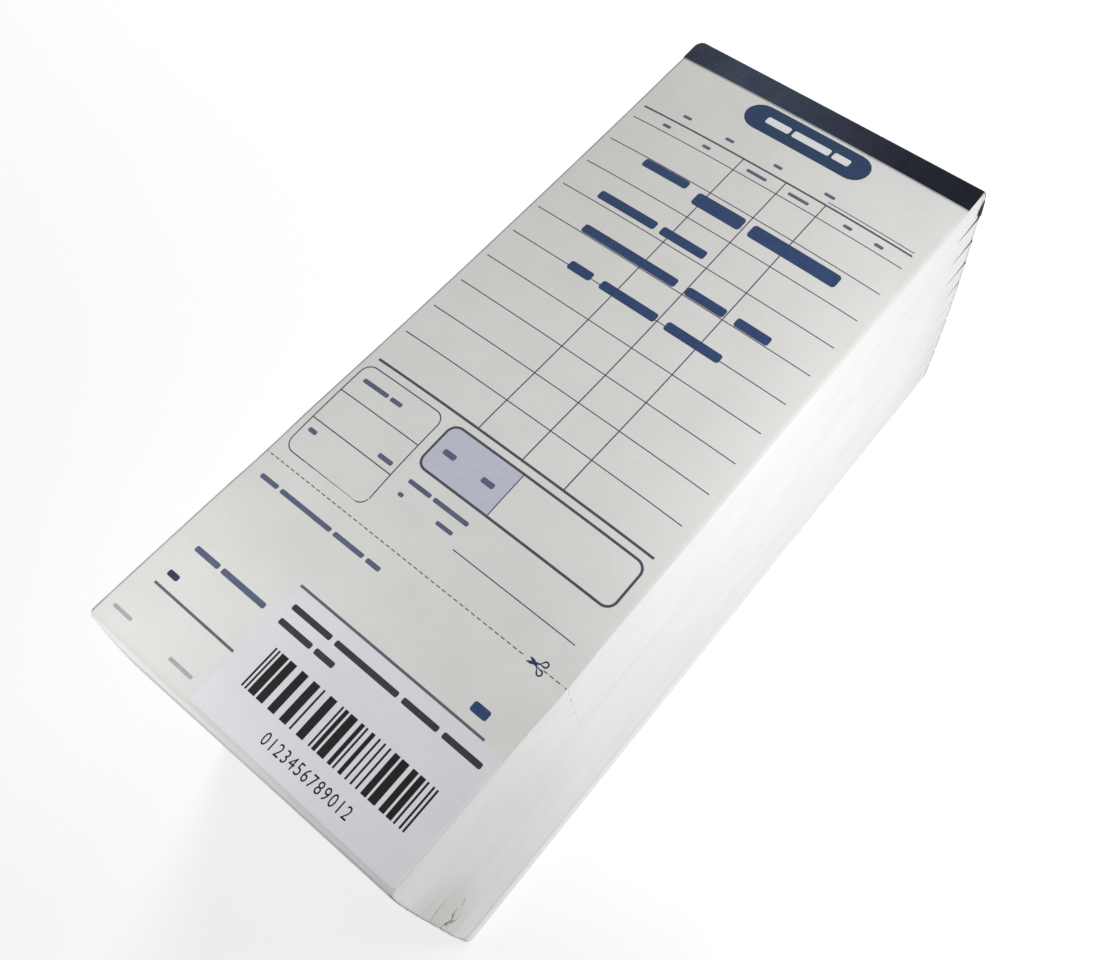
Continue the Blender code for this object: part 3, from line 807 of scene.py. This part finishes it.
class Print:
    """Thin closed films laid on a surface. Patches are grids of (u, v)."""

    def __init__(self, surface, lift=0.004, film=0.010):
        self.surface, self.lift, self.film = surface, lift, film
        self.verts, self.faces, self.uvs, self.slots = [], [], [], []
        self.count, self.materials = 0, []
        self.side = None  # (sign, v): print only on one side of the line v

    def patch(self, u, v, material, closed=False, layer=0):
        u, v = np.asarray(u, float), np.asarray(v, float)
        m, n = u.shape
        size = m * n
        index = np.arange(size).reshape(m, n)
        if closed:
            index = np.concatenate([index, index[:1]], 0)
        over = grid_faces(index)
        if self.side is not None:
            self.part(u.ravel(), v.ravel(), over, material, layer)
            return
        if closed:
            rims = [index[:, 0], index[::-1, -1]]
        else:
            loop = rim_of(index)
            rims = [np.append(loop, loop[0])]
        wall = np.concatenate([np.stack([r[:-1], r[:-1] + size, r[1:] + size, r[1:]], 1) for r in rims])
        faces = np.concatenate([over, over[:, ::-1] + size, wall])
        self.add(u.ravel(), v.ravel(), faces, len(over), material, layer)

    def add(self, u, v, faces, over, material, layer):
        """Adds a film: faces are the upper ones, then the lower, then the rim.
        The grid may run either way; the film is turned to face up."""
        x, y = u - HALF_W, HEAD - v
        base = self.surface(x, y) + self.lift + layer * self.film
        points = np.concatenate(
            [np.stack([x, y, base + self.film], -1), np.stack([x, y, base], -1)]
        )
        a, b, c = (points[faces[0, i]] for i in (0, 1, 2))
        if np.cross(b - a, c - a)[2] < 0:
            faces = faces[:, ::-1]
        # map: upper faces where they lie, lower faces beside them
        s = 1.0 / 180.0
        flat = np.concatenate([np.stack([u + 2, 178 - v], 1), np.stack([u + 82, 178 - v], 1)]) * s
        uvs = flat[faces]
        rim = slice(2 * over, len(faces))
        under = faces[rim] >= len(u)
        uvs[rim] = np.where(under[..., None], flat[faces[rim] - len(u) * under] + 0.03 * s, uvs[rim])
        if material not in self.materials:
            self.materials.append(material)
        self.verts.append(points)
        self.faces += (faces + self.count).tolist()
        self.uvs.append(uvs.reshape(-1, 2))
        self.slots.append(np.full(len(faces), self.materials.index(material)))
        self.count += len(points)

    def part(self, u, v, quads, material, layer):
        """Adds what lies of the quads on one side of a line across the form."""
        sign, at = self.side
        spots, tris = {}, []
        for quad in quads:
            ring = [(u[i], v[i]) for i in quad]
            kept = []
            for p, q in zip(ring, ring[1:] + ring[:1]):
                a, b = sign * (p[1] - at), sign * (q[1] - at)
                if a >= 0:
                    kept.append(p)
                if a * b < 0:
                    kept.append((p[0] + (q[0] - p[0]) * a / (a - b), at))
            ids = [spots.setdefault((round(a, 4), round(b, 4)), len(spots)) for a, b in kept]
            ids = list(dict.fromkeys(ids))
            tris += [(ids[0], ids[j], ids[j + 1]) for j in range(1, len(ids) - 1)]
        if tris:
            points = np.array(list(spots))
            self.add(points[:, 0], points[:, 1], film_faces(tris, len(points)), len(tris), material, layer)

    def rows(self, low, high, step):
        return np.linspace(low, high, max(2, int(math.ceil(abs(high - low) / step)) + 1))

    def block(self, u0, u1, v0, v1, material, layer=0):
        us, vs = self.rows(u0, u1, 3.0), self.rows(v0, v1, 1.6)
        self.patch(*np.meshgrid(us, vs, indexing="ij"), material, layer=layer)

    def across(self, v, u0, u1, width, material, layer=0):
        self.block(u0, u1, v - width / 2, v + width / 2, material, layer)

    def down(self, u, v0, v1, width, material, layer=0):
        self.block(u - width / 2, u + width / 2, v0, v1, material, layer)

    def bar(self, u0, u1, v, height, material, radius=None, layer=0):
        """A bar with round ends, drawn in columns."""
        r = min(height / 2, (u1 - u0) / 2)
        r = r if radius is None else min(r, radius)
        turn = np.linspace(0, math.pi / 2, 7)
        us = np.concatenate(
            [u0 + r - r * np.cos(turn), self.rows(u0 + r, u1 - r, 2.5), u1 - r + r * np.sin(turn)]
        )
        us = np.unique(np.round(us, 4))
        inset = np.maximum(0, np.maximum(u0 + r - us, us - (u1 - r)))
        half = height / 2 - r + np.sqrt(np.maximum(r * r - inset * inset, 0))
        half = np.maximum(half, 0.01)
        k = np.linspace(-1, 1, max(3, int(math.ceil(height / 0.9)) + 1))
        self.patch(np.repeat(us[:, None], len(k), 1), v + half[:, None] * k, material, layer=layer)

    def words(self, u, v, height, lengths, gap, material, radius=None, layer=0):
        """A line of plain bars where a form has words."""
        for length in lengths:
            self.bar(u, u + length, v, height, material, radius, layer)
            u += length + gap

    def loop(self, path, width, material, layer=0):
        """A closed line along path, an (n, 2) array."""
        p = np.asarray(path, float)
        t = np.roll(p, -1, 0) - np.roll(p, 1, 0)
        t /= np.linalg.norm(t, axis=1)[:, None]
        n = np.stack([-t[:, 1], t[:, 0]], 1) * width / 2
        self.patch(
            np.stack([p[:, 0] - n[:, 0], p[:, 0] + n[:, 0]], 1),
            np.stack([p[:, 1] - n[:, 1], p[:, 1] + n[:, 1]], 1),
            material,
            True,
            layer,
        )

    def stroke(self, path, widths, material, layer=0):
        """An open line along path whose width changes from point to point."""
        p = np.asarray(path, float)
        t = np.gradient(p, axis=0)
        t /= np.linalg.norm(t, axis=1)[:, None]
        n = np.stack([-t[:, 1], t[:, 0]], 1) * (np.asarray(widths, float) / 2)[:, None]
        self.patch(
            np.stack([p[:, 0] - n[:, 0], p[:, 0] + n[:, 0]], 1),
            np.stack([p[:, 1] - n[:, 1], p[:, 1] + n[:, 1]], 1),
            material,
            layer=layer,
        )

    def done(self, name):
        verts = np.concatenate(self.verts)
        return make(name, verts, self.faces, self.materials, np.concatenate(self.uvs), np.concatenate(self.slots))


def rounded(u0, u1, v0, v1, r, step=2.5, turns=8):
    """Points round a rectangle with round corners."""
    points = []
    for cu, cv, a0 in ((u1 - r, v0 + r, -90), (u1 - r, v1 - r, 0), (u0 + r, v1 - r, 90), (u0 + r, v0 + r, 180)):
        for i in range(turns + 1):
            a = math.radians(a0 + 90 * i / turns)
            points.append((cu + r * math.cos(a), cv + r * math.sin(a)))
    full = []
    for p, q in zip(points, points[1:] + points[:1]):
        n = max(1, int(math.hypot(q[0] - p[0], q[1] - p[1]) / step))
        for i in range(n):
            full.append((p[0] + (q[0] - p[0]) * i / n, p[1] + (q[1] - p[1]) * i / n))
    return np.array(full)


def form_upper(ink, overprint):
    """The form from the tape to the perforation."""
    ink.bar(21.65, 53.25, 11.5, 7.75, INK_PILL)
    ink.words(26.9, 11.5, 2.0, (6.2, 9.6, 4.2), 0.75, INK_PAPER, 0.5, layer=1)
    # heading
    ink.across(23.9, 2.6, 71.9, 0.44, INK_LINE)
    ink.across(22.95, 50.8, 71.8, 0.20, INK_FINE)
    for u, w in ((11.6, 2.2), (23.1, 2.2), (35.8, 2.2), (48.8, 2.6)):
        ink.bar(u, u + w, 21.4, 0.8, INK_TEXT, 0.3)
    for u, w in ((9.5, 2.1), (20.3, 2.1), (32.1, 5.1), (42.8, 5.1), (56.6, 2.1), (64.2, 2.1)):
        ink.bar(u, u + w, 26.0, 0.8, INK_TEXT, 0.3)
    # rows and columns
    for i in range(10):
        ink.across(27.74 + 7.97 * i, 2.6, 71.9, 0.215, INK_FINE)
    for u in (29.80, 40.86, 50.89):
        ink.down(u, 24.0, 107.3, 0.235, INK_FINE, layer=1)
    ink.across(107.47, 3.1, 71.9, 0.52, INK_LINE)
    # total
    ink.block(25.8, 43.2, 109.6, 119.6, INK_TINT)
    ink.down(43.2, 109.5, 119.7, 0.20, INK_FINE, layer=1)
    ink.loop(rounded(25.55, 71.9, 109.37, 119.82, 2.1), 0.50, INK_LINE, layer=1)
    ink.bar(27.9, 30.9, 114.8, 1.2, INK_TEXT, 0.4, layer=1)
    ink.bar(37.5, 40.5, 114.8, 1.2, INK_TEXT, 0.4, layer=1)
    # table box
    ink.loop(rounded(2.1, 23.2, 109.35, 132.1, 2.3), 0.235, INK_FINE)
    for v in (116.9, 124.4):
        ink.across(v, 2.2, 23.1, 0.215, INK_FINE)
    ink.words(4.2, 112.7, 0.95, (6.8, 3.0), 0.7, INK_TEXT, 0.35)
    ink.bar(3.4, 5.5, 126.7, 0.95, INK_TEXT, 0.35)
    ink.bar(18.4, 22.0, 122.7, 0.95, INK_TEXT, 0.35)
    # small note and its line
    ink.words(26.8, 123.1, 0.9, (5.6, 8.6), 0.7, INK_TEXT, 0.35)
    ink.words(26.9, 126.1, 0.8, (1.2,), 0.0, INK_TEXT, 0.3)
    ink.words(36.5, 126.1, 0.8, (4.0,), 0.0, INK_TEXT, 0.3)
    ink.across(128.1, 42.5, 71.1, 0.195, INK_FINE)
    if overprint:
        ink.words(13.0, 37.0, 2.2, (11.9,), 0.0, INK_NAVY, 0.6, layer=2)
        ink.words(27.9, 38.6, 3.4, (12.4, 21.6), 2.0, INK_NAVY, 0.8, layer=2)
        ink.words(10.9, 49.4, 2.2, (15.2, 11.4), 1.4, INK_NAVY, 0.6, layer=2)
        ink.words(14.0, 58.3, 2.2, (24.4, 9.6, 8.2), 2.6, INK_NAVY, 0.6, layer=2)
        ink.words(17.8, 67.3, 2.2, (6.0, 14.2, 13.4), 2.4, INK_NAVY, 0.6, layer=2)


def perforation(ink, v0, v1):
    """One half of the row of cuts, drawn as grey films of painted shade where
    the cuts are, with a gap for the pictogram.
    """
    pitch = 1.397
    for i in range(int(75 / pitch) + 1):
        a = -0.12 + i * pitch
        a, b = max(a, 0.12), min(a + 0.86, 74.8)
        if b - a < 0.2 or (a < 69.4 and b > 66.3):
            continue
        ink.block(a, b, v0, v1, PERF_SHADE_PAINT)


def scissors(ink):
    """A plain pair of open scissors on the perforation."""
    pivot = np.array([67.75, 134.64])
    t = np.linspace(0, 1, 11)[:, None]
    for tip, neck, centre in (
        ((65.56, 135.63), (68.55, 134.19), (69.40, 133.73)),
        ((65.67, 133.73), (68.42, 134.96), (69.44, 135.50)),
    ):
        tip, neck, centre = np.array(tip), np.array(neck), np.array(centre)
        bend = (1 - t) ** 2 * tip + 2 * t * (1 - t) * pivot + t**2 * neck
        widths = np.interp(t[:, 0], [0, 0.12, 0.40, 0.62, 0.80, 1], [0.06, 0.34, 0.60, 0.56, 0.40, 0.30])
        ink.stroke(bend, widths, INK_DARK)
        away = centre - neck
        far = np.linalg.norm(away)
        away = away / far
        side = np.array([-away[1], away[0]])
        r = 0.50
        turn = math.pi - math.acos(r / far)
        a = np.linspace(-turn, turn, 22)[:, None]
        path = np.concatenate([centre + r * (np.cos(a) * away + np.sin(a) * side), neck[None] + 0.0])
        ink.loop(path, 0.31, INK_DARK, layer=1)


def form_lower(ink):
    """The slip below the perforation."""
    ink.words(3.4, 139.0, 1.0, (4.6, 13.4, 7.6, 3.4), 0.8, INK_TEXT, 0.35)
    ink.across(149.70, 26.1, 70.0, 0.53, INK_WEAK)
    ink.bar(64.4, 68.0, 146.5, 1.9, INK_NAVY, 0.5)
    ink.words(5.4, 156.4, 1.15, (6.4, 11.4), 0.8, INK_TEXT, 0.4)
    ink.across(165.3, 4.5, 25.7, 0.50, INK_WEAK)
    ink.bar(5.0, 7.7, 162.5, 1.2, INK_DARK, 0.4)
    ink.bar(2.0, 7.0, 172.6, 0.7, INK_PALE, 0.3)
    ink.bar(17.6, 23.6, 172.9, 0.7, INK_PALE, 0.3)


def digits(ink, text, u, v, pitch, height, material):
    """Plain figures in a row, centred on v."""
    for i, mark in enumerate(text):
        curve = bpy.data.curves.new("figure", "FONT")
        curve.body = mark
        curve.resolution_u = 3
        temp = bpy.data.objects.new("figure", curve)
        mesh = bpy.data.meshes.new_from_object(temp)
        points = np.array([p.co for p in mesh.vertices])[:, :2]
        lo, hi = points.min(0), points.max(0)
        scale = height / 0.73
        pu = u + i * pitch + (points[:, 0] - (lo[0] + hi[0]) / 2) * scale * 0.80
        pv = v - (points[:, 1] - 0.345) * scale
        over = [list(f.vertices) for f in mesh.polygons]
        tris = []
        for f in over:
            tris += [(f[0], f[j], f[j + 1]) for j in range(1, len(f) - 1)]
        ink.add(pu, pv, film_faces(tris, len(points)), len(tris), material, 0)
        bpy.data.objects.remove(temp)
        bpy.data.curves.remove(curve)
        bpy.data.meshes.remove(mesh)


def label_marks(ink):
    """A made-up barcode and counting figures, with bars for words."""
    ink.words(27.9, 153.2, 1.15, (9.6, 15.0, 8.2, 8.6), 1.1, INK_SOOT, 0.35)
    ink.words(27.9, 156.4, 1.15, (8.0, 4.6), 0.9, INK_SOOT, 0.35)
    r = np.random.default_rng(SEED + 40)
    unit = 39.1 / 95
    at = 0
    while at < 95:
        width = int(r.choice([1, 1, 1, 2, 2, 3, 4]))
        gap = int(r.choice([1, 1, 2, 2, 3]))
        if at < 3 or at > 88:
            width = gap = 1
        width = min(width, 95 - at)
        ink.block(31.15 + at * unit, 31.15 + (at + width) * unit - 0.03, 160.2, 168.4, INK_BLACK)
        at += width + gap
    digits(ink, "0123456789012", 41.4, 171.9, 1.6, 2.45, INK_BLACK)


# ---------------------------------------------------------------- the pads
XS = axis_points(-HALF_W, HALF_W, 5.5, ((-HALF_W, -HALF_W + 0.8, 0.2), (HALF_W - 0.8, HALF_W, 0.2), (HALF_W - 9.0, HALF_W - 1.2, 1.3)))
YS = axis_points(
    FOOT,
    LEAVES_HEAD,
    5.5,
    ((FOOT, FOOT + 0.8, 0.2), (FOOT + 1.0, FOOT + 8.0, 0.3), (FOOT + 8.5, FOOT + 16.0, 1.0), (PERF - 0.24, PERF + 0.24, 0.12), (TAPE_EDGE - 5, TAPE_EDGE + 1, 1.0)),
)
YS_FINE = axis_points(
    FOOT,
    LEAVES_HEAD,
    5.5,
    ((FOOT, FOOT + 8.0, 0.13), (FOOT + 8.5, FOOT + 16.0, 1.0), (PERF - 0.24, PERF + 0.24, 0.12), (TAPE_EDGE - 5, TAPE_EDGE + 1, 1.0)),
)
YS_BOARD = axis_points(
    FOOT,
    LEAVES_HEAD,
    5.5,
    ((FOOT, FOOT + 0.8, 0.2), (FOOT + 1.0, FOOT + 14.0, 1.0), (TAPE_BACK - 1.2, TAPE_BACK, 0.3)),
)


def leaf_offsets(k):
    """How far each leaf of pad k stands in or out on each side."""
    r = np.random.default_rng(SEED * 100 + k)
    nick = 0.12 * max(0.0, 1 - (k - 1) / 5)
    table = {}
    for side, spread in (("right", 1.0), ("left", 1.0), ("foot", 1.3)):
        shift = r.normal(0, 0.008) * spread
        walk, value = [], 0.0
        for _ in range(LAYERS + 1):
            value = 0.82 * value + r.normal(0, 0.0045)
            walk.append(value)
        single = r.normal(0, 0.003, LAYERS + 1)
        proud = r.choice(LAYERS + 1, 4, replace=False)
        single[proud] += r.uniform(0.004, 0.012, 4)
        table[side] = (
            np.clip(shift, -0.02, 0.02) + (np.array(walk) + single) * spread,
            r.uniform(1 / 180, 1 / 45, LAYERS + 1) * 2 * math.pi,
            r.uniform(0, 2 * math.pi, LAYERS + 1),
            r.uniform(0.002, 0.008, LAYERS + 1) * spread,
        )

    def offsets(side, layer, along):
        base, f, p, a = (row[layer] for row in table[side])
        value = (base + a * np.sin(along * f + p)) * min(1.0, layer / 3, (LAYERS - layer) / 3)
        if side != "foot":
            value = value - nick * np.clip(1 - np.abs(along - PERF) / 0.24, 0, 1)
        return value

    return offsets


def board_offsets(k):
    r = np.random.default_rng(SEED * 200 + k)
    jit = {s: r.normal(0, 0.003, 16) for s in ("right", "left", "foot")}

    def offsets(side, layer, along):
        return (jit[side][layer] + 0.005 * np.sin(along * 0.09 + k)) * min(1.0, layer, 4 - layer)

    return offsets


def tape_piece(k):
    """The folded tape of pad k: front strip, head, strip under the board."""
    low, high = RANGES[k]
    r = 0.6
    turn = np.linspace(0, math.pi / 2, 7)
    wander = np.random.default_rng(SEED * 300 + k).normal(0, 0.08, 3)
    front = np.linspace(TAPE_EDGE + (0 if k == 1 else wander[0]), HEAD - r, 9)
    down = np.linspace(high - r, low + r, 42 if k == 1 else 10)[1:-1]
    back = np.linspace(HEAD - r, TAPE_BACK + wander[1], 9)
    py = np.concatenate([front[:-1], HEAD - r + r * np.sin(turn), np.full(len(down), HEAD), HEAD - r + r * np.cos(turn), back[1:]])
    pz = np.concatenate([np.full(8, high), high - r + r * np.cos(turn), down, low + r - r * np.sin(turn), np.full(8, low)])
    ny = np.concatenate([np.zeros(8), np.sin(turn), np.ones(len(down)), np.cos(turn), np.zeros(8)])
    nz = np.concatenate([np.ones(8), np.cos(turn), np.zeros(len(down)), -np.sin(turn), -np.ones(8)])
    inset = {1: 0.0, 2: 0.0, 3: 0.03, 4: 0.05, 5: 0.4}.get(k, 0.75)
    end = HALF_W - inset
    xs = axis_points(-end, end, 5.0, ((-end, -end + 3.0, 0.3), (end - 3.6, end, 0.1 if k == 1 else 0.2)))
    gx, gp = np.meshgrid(xs, np.arange(len(py)), indexing="ij")
    step = np.hypot(np.diff(py), np.diff(pz))
    along = np.concatenate([[0], np.cumsum(step)])

    def place(offset):
        x, y, z = gx, (py - ny * offset)[gp], (pz - nz * offset)[gp]
        head = smooth((y - 86.4) / 1.0)
        if k == 1:
            # follows the swollen leaves; its right end is a little long and
            # bends round the corner of the head
            z = z + (swell(x, y) - edge_droop(x, y)) * smooth((z - (high - 3.0)) / 3.0)
            loose = smooth((70.6 - z) / 4.6) * smooth((z - 64.5) / 1.6) * head
            wrap = 1.5
            bend = 0.35
            out = 0.24 * smooth(loose * 4)
            run = np.maximum(x - (HALF_W - wrap), 0) * (1 + loose) * (wrap + out) / wrap
            flat_run = wrap + out - bend
            turned = np.clip((run - flat_run) / bend, 0, math.pi / 2)
            past = np.maximum(run - flat_run - bend * math.pi / 2, 0)
            bent = HALF_W - wrap + np.minimum(run, flat_run) + (bend - offset) * np.sin(turned)
            held = np.where(run > 0, smooth(loose * 6), 0)
            x = x + (bent - x) * held
            y = y - ((bend - offset) * (1 - np.cos(turned)) + past) * held
        else:
            x = x + np.sign(x) * (0.6 * inset - 0.12) * smooth((np.abs(x) - 34.5) / 2.0) * head
        return np.stack(shaped(k, x, y, z), -1)

    flat = np.stack([gx - xs[0], along[gp]], -1)
    # columns run left to right and the profile from the front over the head
    return shell(f"tape_{k:02d}", place(0.0), place(TAPE_T), flat, (xs[-1] - xs[0], along[-1]), TAPE_TOP if k == 1 else TAPE, 35, TAPE_CORE, range(7, 18) if k == 1 else ())


def glue_piece(k):
    """The bead of glue between the leaves and the tape at the head of pad k."""
    low, high = (np.array(c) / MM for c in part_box(f"head_glue_{k:02d}"))
    xs = axis_points(low[0], high[0], 5.0, ((low[0], low[0] + 1.2, 0.3), (high[0] - 1.2, high[0], 0.3)))
    zs = np.linspace(low[2], high[2], 9)
    gx, gz = np.meshgrid(xs, zs, indexing="ij")
    ripple = 0.03 * np.sin(gx * 1.7 + k) * np.sin(gz * 2.3)
    near = np.stack(shaped(k, gx, low[1] + ripple, gz), -1)
    far = np.stack(shaped(k, gx, high[1] - 0.03 + ripple, gz), -1)
    flat = np.stack([gx - xs[0], gz - zs[0]], -1)
    return shell(f"glue_{k:02d}", near, far, flat, (xs[-1] - xs[0], zs[-1] - zs[0]), GLUE, 35)


def add(obj, body, node=None):
    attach(obj, body)
    if node:
        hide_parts(node)
    return obj


for k in range(1, PADS + 1):
    low, high = RANGES[k]
    body = f"pad_{k:02d}"

    def board_low(x, y, low=low):
        return low + 0.20 * smooth((y - (TAPE_BACK - 0.9)) / 0.7) + 0 * x

    def board_high(x, y, low=low):
        return low + BOARD_T + 0 * x + 0 * y

    def leaves_low(x, y, low=low):
        return low + BOARD_T + 0.002 + 0 * x + 0 * y

    def leaves_high(x, y, k=k):
        return pad_top(k, x, y)

    board = stack(f"board_{k:02d}", k, XS, YS_BOARD, board_low, board_high, 4, [BOARD], board_offsets(k), 0.5)
    add(board, body, f"backing_board_{k:02d}")
    leaves = stack(
        f"leaves_{k:02d}", k, XS, YS_FINE if k in (4, 5, 6, 7) else YS, leaves_low, leaves_high, LAYERS, [FORM_PAPER, EDGE_PAPER], leaf_offsets(k), 0.6
    )
    add(leaves, body, f"leaf_block_{k:02d}")
    add(tape_piece(k), body, f"binding_tape_{k:02d}")
    add(glue_piece(k), body, f"head_glue_{k:02d}")
    ink = Print(lambda x, y, k=k: pad_top(k, x, y), 0.003, 0.004)
    form_upper(ink, False)
    perforation(ink, 134.63, 134.81)
    scissors(ink)
    form_lower(ink)
    add(ink.done(f"form_print_{k:02d}"), body)

# ---------------------------------------------------------------- top leaf
SHEET_X = axis_points(-HALF_W + 0.02, HALF_W - 0.02, 3.0, ((HALF_W - 2.0, HALF_W - 0.02, 0.22), (-HALF_W + 0.02, -HALF_W + 1.0, 0.24)))


def top_leaf_shape(x, y, z):
    return shaped(1, x, y, z)


leaf = slab(
    "top_leaf_sheet",
    SHEET_X,
    axis_points(PERF + 0.01, 86.4, 3.0, ((TAPE_EDGE - 17.0, TAPE_EDGE + 0.5, 0.8),)),
    top_surface,
    LEAF_T,
    PAPER_LIGHT_SHADE_PAINTED,
    warp=top_leaf_shape,
)
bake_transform(leaf)
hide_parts("top_leaf")

ink = Print(top_surface)
form_upper(ink, True)
perforation(ink, 134.61, 134.705)
ink.side = (-1, 134.71)
scissors(ink)
leaf_print = ink.done("top_leaf_print")
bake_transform(leaf_print)

# ---------------------------------------------------------------- slip and label
slip = slab(
    "slip_sheet",
    SHEET_X,
    axis_points(FOOT + 0.02, PERF - 0.01, 3.0, ((FOOT + 0.02, FOOT + 2.2, 0.22),)),
    top_surface,
    LEAF_T,
    PAPER_LIGHT_SHADE_PAINTED,
    outline=lambda x, y: blunt(x, y, -HALF_W, HALF_W, FOOT, HEAD, 0.5),
    warp=top_leaf_shape,
)
add(slip, "tear_off_slip", "tear_off_slip")

ink = Print(top_surface)
perforation(ink, 134.735, 134.83)
form_lower(ink)
ink.side = (1, 134.73)
scissors(ink)
add(ink.done("slip_print"), "tear_off_slip")

LABEL_X = (LABEL_U[0] - HALF_W, LABEL_U[1] - HALF_W)
LABEL_Y = (HEAD - LABEL_V[1], HEAD - LABEL_V[0])
label = slab(
    "label_sheet",
    axis_points(*LABEL_X, 2.5, ((LABEL_X[0], LABEL_X[0] + 0.9, 0.18), (LABEL_X[1] - 1.9, LABEL_X[1], 0.19))),
    axis_points(*LABEL_Y, 2.5, ((LABEL_Y[0], LABEL_Y[0] + 1.3, 0.18), (LABEL_Y[1] - 0.9, LABEL_Y[1], 0.18))),
    lambda x, y: top_surface(x, y) + 0.10,
    0.08,
    LABEL_PAPER,
    outline=lambda x, y: blunt(x, y, *LABEL_X, *LABEL_Y, LABEL_R),
    warp=top_leaf_shape,
)
add(label, "tear_off_slip", "barcode_label")
ink = Print(lambda x, y: top_surface(x, y) + 0.10)
label_marks(ink)
add(ink.done("label_print"), "tear_off_slip")

# ---------------------------------------------------------------- floor, light, camera
scene = bpy.context.scene


def floor_material():
    mat, nt, bsdf = new_material("floor_white")
    grain = noise(nt, coords(nt, (1.0, 1.0, 1.0)), 4.0, 2.0, 0.5)
    nt.links.new(ramp(nt, grain, [(0.3, (0.90, 0.90, 0.90)), (0.7, (0.92, 0.92, 0.92))]), bsdf.inputs["Base Color"])
    bsdf.inputs["Roughness"].default_value = 0.9
    bsdf.inputs["Specular IOR Level"].default_value = 0.1
    bsdf.inputs["Emission Color"].default_value = (1, 1, 1, 1)
    bsdf.inputs["Emission Strength"].default_value = 0.317
    return mat


bpy.ops.mesh.primitive_circle_add(vertices=96, radius=4.0, fill_type="NGON", location=(0, 0, -0.00005))
floor = bpy.context.object
floor.name = "floor"
floor.data.materials.append(floor_material())
floor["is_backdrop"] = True

world = bpy.data.worlds.new("studio")
scene.world = world
world.use_nodes = True
back = world.node_tree.nodes["Background"]
back.inputs["Color"].default_value = (1.0, 1.0, 1.0, 1.0)
back.inputs["Strength"].default_value = 0.477


def area(name, at, aim, size, power, colour=(1, 1, 1)):
    data = bpy.data.lights.new(name, "AREA")
    data.shape = "DISK"
    data.size = size
    data.energy = power
    data.color = colour
    obj = bpy.data.objects.new(name, data)
    scene.collection.objects.link(obj)
    obj.location = at
    obj.visible_camera = False
    obj.rotation_euler = (Vector(at) - Vector(aim)).to_track_quat("Z", "Y").to_euler()
    return obj


area("back_left", (-0.31, 0.43, 0.48), (0.0, 0.0, 0.07), 0.3, 1.18)
area("back_right", (0.15, 0.60, 0.50), (0.0, 0.0, 0.07), 0.3, 0.454)
area("key_right", (0.139, 0.026, 0.118), (0.037, 0.077, 0.04), 0.12, 0.0865)
area("fill_near", (-0.035, -0.10, 0.125), (-0.015, -0.07, 0.07), 0.06, 0.018)
area("fill_far", (0.075, 0.06, 0.15), (0.02, 0.05, 0.072), 0.06, 0.0078)

scene.view_settings.view_transform = "Standard"
scene.view_settings.look = "None"

camera = bpy.data.objects.new("camera", bpy.data.cameras.new("camera"))
scene.collection.objects.link(camera)
right = Vector((0.77832465, 0.62670570, -0.03808818))
down = Vector((0.53696392, -0.69585659, -0.47692070))
ahead = Vector((-0.32539283, 0.35074716, -0.87812068))
turn = Matrix((right, -down, -ahead)).transposed()
camera.matrix_world = Matrix.Translation(Vector((87.986, -77.962, 258.790)) * MM) @ turn.to_4x4()
camera.data.sensor_fit = "HORIZONTAL"
camera.data.sensor_width = 36.0
camera.data.lens = 1145.611 / 1102 * 36.0
camera.data.shift_x = (551 - 642.388) / 1102
camera.data.shift_y = (448.186 - 480) / 1102
camera.data.clip_start = 0.01
camera.data.clip_end = 30.0
scene.camera = camera

bpy.context.view_layer.update()
low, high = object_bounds()
